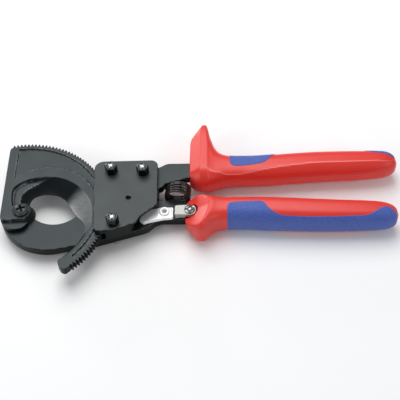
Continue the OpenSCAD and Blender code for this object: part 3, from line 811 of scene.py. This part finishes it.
def make_nose_screw():
    b = Build()
    head_z, head_r, head_h = BLADE_TOP + 0.1, 4.9, 2.9
    w, l = CROSS_HALF, CROSS_ARM
    c, s = math.cos(CROSS_TURN), math.sin(CROSS_TURN)

    def dome(P):
        """The screw's head, with its cross recess."""
        r = radius(P)
        z = head_z + head_h - 0.35 * (r / head_r) ** 2 * 2.4
        z = z - 0.9 * smooth((r - 2.6) / 2.2) * (r / head_r) ** 4
        u, v = np.abs(P[:, 0] * c + P[:, 1] * s), np.abs(-P[:, 0] * s + P[:, 1] * c)
        arm = np.minimum(np.maximum(u - l, v - w), np.maximum(v - l, u - w))
        return z - 2.0 * smooth((0.12 - arm) / 0.3)
    cross = []
    for x, y in ((l, -w), (l, w), (w, w), (w, l), (-w, l), (-w, w), (-l, w), (-l, -w), (-w, -w), (-w, -l),
                 (w, -l), (w, -w)):
        cross.append((x * c - y * s, x * s + y * c))
    relief(b, circle((0, 0), head_r, 72), [], head_z, dome, fillet=0.5, foot=0.25, grid=0.55, step=0.6,
           lines=[(np.array(cross), True, 0.13)])
    lathe(b, (0, 0), [(0, -3.05), (2.4, -3.05), (3.0, -2.5), (3.0, head_z + 0.05), (0, head_z + 0.05)])
    recess_z = dome(np.array([[3.0, 0.0]]))[0] - 0.5
    # Painted shade: the cross recess takes the full wall mark, which darkens it.
    b.wall = [1.0 if math.hypot(x, y) < 3.4 and z < recess_z else mark
              for (x, y, z), mark in zip(b.v, b.wall)]
    b.make("nose_screw", M_SCREW, "frame")
    washer = Build()
    z = BLADE_TOP - 0.75
    lathe(washer, (0, 0), [(3.03, z), (5.2, z), (5.3, z + 0.1), (5.3, z + 0.65), (5.15, z + 0.8),
                           (3.03, z + 0.8), (3.03, z)], 64)
    washer.make("nose_washer", M_SCREW, "frame")


def hexagon(centre, across_flats):
    return circle(centre, across_flats / math.sqrt(3), 6)


def make_nuts():
    b = Build()
    for c in BOLTS:
        def crown(P, c=c):
            r = radius(P, c)
            return COVER_TOP + NUT_H - 0.55 * np.maximum(r - 3.15, 0) - 0.5 * smooth((2.75 - r) / 0.5)
        relief(b, hexagon(c, 7.0), [circle(c, 2.03, 32)], COVER_TOP, crown, fillet=0.16, foot=0.1,
               grid=0.6, step=0.5, lines=[(circle(c, 3.15, 48), True, 0.08), (circle(c, 2.5, 40), True, 0.1)])
    b.make("cover_nuts", M_NUT, "frame", sharp=30)
    s = Build()
    for c in BOLTS:
        top = COVER_TOP + NUT_H + 0.4
        profile = [(0, -2.6), (2.6, -2.6), (3.5, -2.2), (3.8, -1.4), (3.8, -0.15), (3.65, 0), (THREAD_R, 0)]
        z = COVER_TOP + 1.0
        profile += [(THREAD_R, z)]
        while z < top - 1.0:
            profile += [(THREAD_R, z + 0.2), (THREAD_ROOT, z + 0.45), (THREAD_R, z + THREAD_PITCH)]
            z += THREAD_PITCH
        profile += [(THREAD_R, top - 0.75), (1.45, top - 0.2), (1.15, top - 0.02), (0, top)]
        lathe(s, c, profile, 40)
    s.make("cover_bolts", M_BRIGHT, "frame")
    n = Build()
    relief(n, hexagon((0, 0), 10.0), [circle((0, 0), 3.03, 40)], -4.0, -0.01, fillet=0.15, foot=0.5, step=1.0)
    n.make("nose_nut", M_SCREW, "frame", sharp=30)


def make_lever():
    b = Build()
    loops = cad_loops("release_lever", LEVER_TOP)
    raised = rounded([(85.4, -3.3, 1.2), (94.7, -3.1, 1.0), (94.7, 3.0, 1.0), (86.4, 3.0, 1.6)])

    def top(P):
        d = away(P, raised) * np.where(inside(P, raised), 1, -1)
        return LEVER_TOP - 0.28 + 0.28 * smooth((d + 0.25) / 0.5)
    relief(b, loops[0], loops[1:], LEVER_Z, top, fillet=0.45, foot=0.3, grid=0.9, step=0.8,
           lines=[(raised, True, 0.25)])
    lathe(b, LEVER_PEG, [(0, 8.6), (1.3, 8.6), (1.3, 11.6), (1.2, 11.7), (0, 11.7)], 24)
    b.make("release_lever", M_ZINC_PAINTED_LIGHT, "release_lever")
    r = Build()
    z = LEVER_TOP + 0.1
    lathe(r, LEVER_PIVOT, [(1.45, -0.9), (2.9, -0.9), (3.0, -0.75), (3.0, -0.1), (2.0, -0.05), (2.0, z),
                           (3.2, z), (3.3, z + 0.15), (3.3, z + 0.6), (3.0, z + 1.0), (2.5, z + 1.17),
                           (1.95, z + 1.1), (1.6, z + 0.85), (1.45, z + 0.5), (1.45, -0.9)], 56)
    r.make("lever_rivet", M_ZINC_PAINTED_LIGHT, "frame")


def make_lock():
    b = Build()
    loops = cad_loops("lock_plate", LOCK_TOP)

    def top(P):
        return LOCK_TOP - 0.25 * smooth((99.3 - P[:, 0]) / 0.9)
    relief(b, loops[0], loops[1:], LOCK_Z, top, fillet=0.4, foot=0.2, grid=0.9, step=0.8,
           lines=[(np.array([(98.9, -2.6), (98.9, 4.3)]), False, 0.4)])
    foot = rounded([(96.72, -2.88, 0.9), (99, -2.88, 0), (99, 4.58, 0), (96.72, 4.58, 0.9)])
    relief(b, foot, [], LOCK_FOOT_Z, LOCK_Z + 0.05, fillet=0.0, foot=0.25, step=1.0)
    fold = rounded([(96.72, -2.88, 0.9), (103.2, -3.13, 0), (103.2, -2.02, 0), (96.72, -1.82, 0)])
    relief(b, fold, [], LOCK_FOLD_Z, LOCK_Z + 0.05, fillet=0.0, foot=0.3, step=1.0)
    b.make("lock_plate", M_PLATE, "lock_plate")
    p = Build()
    c = np.array(LOCK_PIVOT)
    z = LOCK_TOP + 0.1
    t = math.radians(35)

    def dome(P):
        """The pin's head, with its slot."""
        q = P - c
        h = z + 2.2 - (4.4 - np.sqrt(np.maximum(4.4 ** 2 - radius(q) ** 2, 0)))
        v = np.abs(-q[:, 0] * math.sin(t) + q[:, 1] * math.cos(t))
        return np.where(v < 0.45, np.minimum(h, z + 0.9), h)
    u = np.array([math.cos(t), math.sin(t)])
    w = np.array([-u[1], u[0]])
    slot = np.array([c + u * 4 + w * 0.45, c - u * 4 + w * 0.45, c - u * 4 - w * 0.45, c + u * 4 - w * 0.45])
    relief(p, circle(c, 3.3, 72), [], z, dome, fillet=0.2, foot=0.15, grid=0.5, step=0.4,
           lines=[(slot, True, 0.07)])
    lathe(p, c, [(0, 0), (2, 0), (2, 6), (3.15, 6), (3.2, 6.05), (3.2, 7.9), (3.15, 7.95), (2, 7.95),
                 (2, z + 0.05), (0, z + 0.05)], 48)
    p.make("lock_pin", M_BRIGHT, "frame")


def make_pawl_pin():
    b = Build()
    lathe(b, PAWL_PIVOT, [(0, 9.3), (1.4, 9.3), (1.5, 9.4), (1.5, 13.9), (1.35, 14.2), (1.0, 14.2),
                          (0.8, 13.2), (0, 12.9)], 32)
    b.make("retaining_pawl_pin", M_SCREW, "frame")


make_pawl_pin()
make_nose_screw()
make_nuts()
make_lever()
make_lock()

# ---- opening spring

# Centres of the end turns on the two handles, and how far each is tilted, in degrees
FOOT, HEAD, FOOT_TILT, HEAD_TILT = (98.0, 12.6), (98.4, 19.6), -7, 3
COIL_R, TURNS, COIL_Z, WIRE = 7.6, 5, 6.6, 1.5


def tube(build, path, d, n=14):
    """A round wire along a path, with flat ends."""
    path = np.array(path, float)
    t = np.gradient(path, axis=0)
    t /= np.linalg.norm(t, axis=1)[:, None]
    side = np.array([0.0, 1.0, 0.0])
    rings = []
    for p, a in zip(path, t):
        side = side - a * (side @ a)
        side /= np.linalg.norm(side)
        up = np.cross(a, side)
        rings.append([build.add(p + d / 2 * (math.cos(k) * side + math.sin(k) * up))
                      for k in np.arange(n) * 2 * math.pi / n])
    for a, b in zip(rings[:-1], rings[1:]):
        build.strip(b, a)
    build.face(rings[0][::-1])
    build.face(rings[-1])


def make_spring():
    b = Build()
    path = []
    steps = 48 * TURNS
    flat = 0.75 / TURNS
    for i in range(steps + 1):
        s = i / steps
        a = math.radians(360 * TURNS * s + 200)
        u = min(1, max(0, (s - flat) / (1 - 2 * flat)))
        k = math.radians(FOOT_TILT * (1 - u) + HEAD_TILT * u)
        cx, cy = FOOT[0] + (HEAD[0] - FOOT[0]) * u, FOOT[1] + (HEAD[1] - FOOT[1]) * u
        reach = COIL_R * math.cos(a)
        path.append((cx + reach * math.cos(k), cy + reach * math.sin(k), COIL_Z + COIL_R * math.sin(a)))
    tube(b, path, WIRE)
    o = b.make("opening_spring", M_SPRING, None, sharp=60)
    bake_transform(o)


make_spring()

# ---- grips

SIDES = 112
# How far a pad stands off the grip at its border and inside it, and how deep it is let in
PAD_LOW, PAD_PROUD, PAD_DEPTH = -0.25, 0.30, 1.4


def upper_faces(s, y):
    """How high the upper guard's faces let a ring stand: flat down to a crease, then rounded."""
    x, low = s[0], s[1]
    flat = min(17.0, 13.2 + (x - 106) * 0.58)
    crease = 29.6 - max(0.0, 113 - x) * 0.25
    rounding = 3.4
    centre = crease + rounding
    r = max(centre - low + 0.2, 5.0)
    fall = np.sqrt(np.maximum(1 - ((centre - y) / r) ** 2, 0)) / math.sqrt(1 - (rounding / r) ** 2)
    return GRIP_Z + (flat - GRIP_Z) * np.where(y < crease, fall, 1.0) + max(0, x - 117.4) * 0.9


def lower_faces(s, y):
    """The same for the sloping face at the front of the lower guard, which the back doesn't have."""
    crease = 119.6 - 0.33 * np.maximum(0, -y)
    return 17.1 - (crease - s[0]) * 0.669


def section(s, faces, both):
    """One ring of a grip at a station, cut down to its faces on the front, or on both sides."""
    ring = skin(s, np.arange(SIDES) * 2 * math.pi / SIDES)
    top = faces(s, ring[:, 1])
    ring[:, 2] = np.minimum(ring[:, 2], top)
    if both:
        ring[:, 2] = np.maximum(ring[:, 2], 2 * GRIP_Z - top)
    return ring


def from_crest(a, squareness, crest):
    """Points at angles a on a superellipse of radius 1, and their angles from the crest."""
    c, d = np.cos(a), np.sin(a)
    y = np.sign(c) * np.abs(c) ** (2 / squareness)
    z = np.sign(d) * np.abs(d) ** (2 / squareness)
    return y, z, (np.degrees(np.arctan2(z, y)) - crest + 180) % 360 - 180


def crest_highlight(s):
    """1 along the crest of a ring, where the edge mark paints a highlight line."""
    g = np.abs(from_crest(np.arange(SIDES) * 2 * math.pi / SIDES, s[4], s[5])[2])
    return np.where(g == g.min(), 1.0, 0.0) * min(1.0, s[6] / 0.08)


def skin(s, a, out=0.0):
    """The grip's surface at a station and angles a, moved outwards by out."""
    x, y0, y1, half, squareness, crest, ridge = s
    y, z, g = from_crest(a, squareness, crest)
    lift = 1 + ridge * np.exp(-(np.sqrt(g * g + 5) - 2.2) / 15)
    y, z = y * lift, z * lift
    Y = (y0 + y1) / 2 + ((y1 - y0) / 2 + out) * y
    Z = GRIP_Z + (half + out) * z
    return np.stack([np.full(len(a), x), Y, Z], 1)


def stations(table, soft_from):
    """Soft curves between stations past soft_from; straight lines, with crisp edges, before it."""
    T = np.array(table, float)
    xs = T[:, 0]
    hard = [x for x in xs if x < soft_from]
    out = []
    for k, x in enumerate(hard):
        for d in ((-0.22, 0.0, 0.22) if 0 < k else (0.0, 0.22)):
            out.append(x + d)
        nxt = xs[k + 1]
        m = max(1, int((nxt - x) / 0.7))
        out += [x + (nxt - x) * j / m for j in range(1, m)]
    x = soft_from
    while x < xs[-1]:
        out.append(x)
        x += 1.6 if x < xs[-1] - 12 else 0.5
    out.append(xs[-1])
    out = sorted(set(round(v, 3) for v in out if v <= xs[-1]))
    m = np.zeros_like(T)
    for i in range(len(T)):
        if 0 < i < len(T) - 1:
            h0, h1 = xs[i] - xs[i - 1], xs[i + 1] - xs[i]
            s0, s1 = (T[i] - T[i - 1]) / h0, (T[i + 1] - T[i]) / h1
            m[i] = np.where(s0 * s1 > 0, 2 * s0 * s1 / np.where(s0 + s1 == 0, 1, s0 + s1), 0)
    m[-1] = (T[-1] - T[-2]) / (xs[-1] - xs[-2])
    rows = []
    for x in out:
        i = int(np.clip(np.searchsorted(xs, x, side="right") - 1, 0, len(xs) - 2))
        h = xs[i + 1] - xs[i]
        t = (x - xs[i]) / h
        if xs[i] < soft_from - 0.01 and xs[i + 1] <= soft_from + 0.01:
            row = T[i] * (1 - t) + T[i + 1] * t
        else:
            row = ((1 + 2 * t) * (1 - t) ** 2 * T[i] + t * (1 - t) ** 2 * h * m[i]
                   + t * t * (3 - 2 * t) * T[i + 1] + t * t * (t - 1) * h * m[i + 1])
        row[0] = x
        rows.append(row)
    return np.array(rows)


# Stations along the grips: x, low side, high side, half thickness, squareness, crest angle, crest height
UPPER = [
    (105.5, 25.5, 55.5, 6, 6, 122, 0), (106.3, 24, 57.5, 8.2, 6, 122, 0), (109, 21.9, 61.6, 9.8, 6, 122, 0),
    (112.3, 21, 66.6, 10.9, 6, 122, 0), (113.2, 20.9, 68.2, 11, 6, 122, 0),
    (115.8, 20.8, 68.2, 11, 6, 122, 0.01), (116.8, 20.9, 66.0, 10.9, 5, 122, 0.02),
    (118.4, 21.1, 59.4, 10.5, 3.4, 122, 0.05), (121, 22, 51.6, 10.1, 2.8, 124, 0.08),
    (124.5, 23.2, 46.6, 9.8, 2.6, 126, 0.09), (130.8, 24.7, 44.1, 9.5, 2.5, 137, 0.09),
    (136, 25, 43.7, 9.4, 2.5, 138, 0.09), (145, 25.1, 43.7, 9.3, 2.5, 130, 0.09),
    (154.4, 25.4, 44.3, 9.3, 2.5, 122, 0.09), (172, 26.8, 45.7, 9.3, 2.5, 114, 0.09),
    (190, 28, 46.8, 9.2, 2.5, 110, 0.09), (209, 28.8, 47.1, 8.9, 2.5, 109, 0.09),
    (222, 29.9, 47, 8.5, 2.5, 110, 0.08), (230.5, 31, 46.7, 8.0, 2.45, 113, 0.06),
    (235, 32.6, 45.2, 6.9, 2.4, 114, 0.03), (237.6, 34.6, 42.8, 5.0, 2.3, 114, 0),
    (238.8, 37.6, 39.4, 1.6, 2.1, 114, 0),
]
# The lower grip has no crest: x, low side, high side, half thickness, squareness
LOWER = [
    (103.6, -7, 7, 5.4, 3.5), (104.5, -9.4, 9, 7.4, 3.5), (110.6, -15.6, 11.4, 10.4, 3.8),
    (112.6, -16.4, 11.4, 10.9, 3.8), (114.8, -16.3, 11.3, 11, 3.6), (119, -12.6, 10.9, 10.7, 3.2),
    (123.5, -9.6, 10.2, 10.1, 2.8), (129, -8.3, 9.9, 9.8, 2.6), (136, -8.2, 10, 9.8, 2.6),
    (145, -8.5, 10, 10, 2.6), (157, -9.3, 9.6, 10.2, 2.6), (170, -9.8, 9, 10.1, 2.6),
    (184, -10.4, 8.1, 9.9, 2.6), (198, -10.6, 7.3, 9.6, 2.6), (210, -10.5, 6.8, 9.3, 2.6),
    (220, -10.3, 6.3, 8.9, 2.6), (227, -10, 5.7, 8.3, 2.5), (232, -8.9, 4.2, 7.2, 2.4),
    (235, -6.9, 1.9, 5.2, 2.3), (236.4, -3.4, -1.6, 1.6, 2.1),
]
# The pads' outlines: x, and the angle of the border round the grip
FRONT_PAD = [(131.2, 84), (131.8, 93), (133, 99), (135, 103), (140, 102), (146, 98), (153.5, 92),
             (155.6, 85), (157.6, 72), (159.6, 54), (161, 36)]
END_PAD = [(217.5, 20), (219.5, 42), (221.5, 54), (224.5, 63), (228.5, 71), (233, 78), (236, 84), (237.4, 88)]
LONG_PAD = [(129.8, 98), (130.4, 90), (131.4, 86), (134, 83), (145, 81), (150.5, 80), (152.4, 83), (154, 90),
            (157, 108), (159.4, 119), (162.4, 128), (168, 133), (182, 133), (200, 129), (214, 125),
            (216.6, 121), (219, 114), (222.2, 100), (225, 89), (228.4, 83), (231, 85), (233, 93),
            (234.4, 104), (235.3, 120)]
UPPER_ROWS = stations(UPPER, 121)
LOWER_ROWS = stations([(*row, 90, 0) for row in LOWER], 114.8)


def row_at(rows, x):
    i = int(np.clip(np.searchsorted(rows[:, 0], x, side="right") - 1, 0, len(rows) - 2))
    t = (x - rows[i, 0]) / (rows[i + 1, 0] - rows[i, 0])
    return rows[i] * (1 - t) + rows[i + 1] * t


def loft(build, rings, edges=None):
    ids = []
    for k, ring in enumerate(rings):
        ids.append([build.add(p, edges[k][j] if edges else 0.0) for j, p in enumerate(ring)])
    for a, b in zip(ids[:-1], ids[1:]):
        build.strip(a, b)
    build.face(ids[0][::-1])
    build.face(ids[-1])


def make_pad(node, rows, body, border):
    """A soft pad let into the grip between two angles at each x, with a rounded border."""
    B = np.array(border, float)
    x0, x1 = B[0, 0], B[-1, 0]
    lead = [0, 0.08, 0.25, 0.5, 0.8]
    xs = [x0 + d for d in lead]
    x = x0 + 1.4
    while x < x1 - 1.2:
        xs.append(x)
        x += 0.8
    xs += [x1 - d for d in lead[::-1]]
    close = np.array([0, 0.006, 0.016, 0.03, 0.05])
    t = np.concatenate([close, np.linspace(0.08, 0.92, 46), 1 - close[::-1]])
    b = Build()
    rings = []
    for x in xs:
        a0 = math.radians(np.interp(x, B[:, 0], B[:, 1]))
        a1 = math.radians(np.interp(x, B[:, 0], B[:, 2]))
        s = row_at(rows, x)
        a = a0 + (a1 - a0) * t
        side = np.minimum(t, 1 - t) * abs(a1 - a0) * s[3]
        g = np.clip(np.minimum(side, min(x - x0, x1 - x)) / 0.5, 0, 1)
        proud = PAD_LOW + (PAD_PROUD - PAD_LOW) * np.sqrt(1 - (1 - g) ** 2)
        ring = np.concatenate([skin(s, a, proud), skin(s, a[::-1], -PAD_DEPTH)])
        rings.append([b.add(v) for v in ring])
    for u, w in zip(rings[:-1], rings[1:]):
        b.strip(w, u)
    b.face(rings[0])
    b.face(rings[-1][::-1])
    b.make(node, M_BLUE, body, sharp=50)


def make_grips():
    b = Build()
    # The crest carries the edge mark, a painted highlight line.
    loft(b, [section(s, upper_faces, True) for s in UPPER_ROWS], [crest_highlight(s) for s in UPPER_ROWS])
    b.make("upper_grip", M_RED, "upper_handle", sharp=45)
    b = Build()
    loft(b, [section(s, lower_faces, False) for s in LOWER_ROWS])
    o = b.make("lower_grip", M_RED, "frame", sharp=45)
    cutter = Build()
    lathe(cutter, LOCK_PIVOT, [(0, PLATE_TOP), (5.2, PLATE_TOP), (5.2, 26), (0, 26)], 72)
    me = bpy.data.meshes.new("cut")
    me.from_pydata([world(v) for v in cutter.v], [], cutter.f)
    c = bpy.data.objects.new("cut", me)
    bpy.context.scene.collection.objects.link(c)
    cut = o.modifiers.new("pocket", "BOOLEAN")
    cut.object = c
    cut.solver = "EXACT"
    bpy.context.view_layer.update()
    bpy.context.view_layer.objects.active = o
    o.modifiers.move(1, 0)
    bpy.ops.object.select_all(action="DESELECT")
    o.select_set(True)
    bpy.ops.object.modifier_apply(modifier="pocket")
    bpy.data.objects.remove(c)
    make_pad("upper_grip_front_pad", UPPER_ROWS, "upper_handle", [(x, -a, a) for x, a in FRONT_PAD])
    make_pad("upper_grip_end_pad", UPPER_ROWS, "upper_handle", [(x, -a, a) for x, a in END_PAD])
    make_pad("lower_grip_pad", LOWER_ROWS, "frame", [(x, a, 360 - a) for x, a in LONG_PAD])


make_grips()

# ---- what stays as the CAD has it

for node, material in (("handle_bush", M_BRIGHT), ("drive_pawl", M_TOOL), ("drive_pawl_pin", M_BRIGHT),
                       ("drive_pawl_spring", M_TOOL), ("retaining_pawl", M_TOOL),
                       ("retaining_pawl_spring", M_TOOL)):
    data = frame["nodes"][node].data
    data.materials.clear()
    data.materials.append(material)

# ---- studio

# Where the camera looks from, in degrees, and its place
AZIMUTH, ELEVATION, ROLL = 3.989, 52.503, -3.784
CAMERA, LENS, SENSOR = (142.0, -413.5, 561.4), 99.0, 36.0
FLOOR_HALF, FLOOR_DROP = 3.0, 0.0003
# Each light's place and size in metres, and its power
LIGHTS = {
    "key": ((-0.14, 0.45, 0.98), (0.8, 1.0), 10.0),
    "left": ((-0.95, -0.60, 0.65), (0.6, 0.6), 3.2),
    "right": ((0.95, -0.60, 0.65), (0.6, 0.6), 2.4),
    "low_left": ((-0.80, 1.00, 0.24), (0.3, 0.3), 3.6),
}


def studio():
    scene = bpy.context.scene
    scene.view_settings.view_transform = "Standard"
    scene.view_settings.look = "None"
    world_light = bpy.data.worlds.new("studio")
    world_light.use_nodes = True
    background = world_light.node_tree.nodes["Background"]
    background.inputs["Color"].default_value = (0.95, 0.97, 1.0, 1)
    background.inputs["Strength"].default_value = 0.30
    scene.world = world_light

    me = bpy.data.meshes.new("floor")
    h = FLOOR_HALF
    me.from_pydata([(-h, -h, 0), (h, -h, 0), (h, h, 0), (-h, h, 0)], [], [(0, 1, 2, 3)])
    floor = bpy.data.objects.new("floor", me)
    scene.collection.objects.link(floor)
    n = Nodes("pale_floor")
    pale = n.mix(n.noise(3, 2, 0.5), (0.90, 0.90, 0.90), (0.93, 0.93, 0.93))
    me.materials.append(n.finish(Base_Color=pale, Roughness=0.85, Specular_IOR_Level=0.2))
    floor.location.z = -FLOOR_DROP

    for name, (where, size, power) in LIGHTS.items():
        light = bpy.data.lights.new(name, "AREA")
        light.shape = "RECTANGLE"
        light.size, light.size_y = size
        light.energy = power
        o = bpy.data.objects.new(name, light)
        scene.collection.objects.link(o)
        o.location = where
        o.rotation_mode = "QUATERNION"
        o.rotation_quaternion = (-Vector(where)).to_track_quat("-Z", "Y")

    cam = bpy.data.cameras.new("camera")
    cam.lens, cam.sensor_width = LENS, SENSOR
    cam.clip_start, cam.clip_end = 0.01, 10
    o = bpy.data.objects.new("camera", cam)
    scene.collection.objects.link(o)
    around = Matrix.Rotation(math.radians(AZIMUTH), 4, "Z")
    tilt = Matrix.Rotation(math.radians(90 - ELEVATION), 4, "X")
    roll = Matrix.Rotation(math.radians(ROLL), 4, "Z")
    o.matrix_world = Matrix.Translation(world(CAMERA)) @ around @ tilt @ roll
    scene.camera = o


studio()
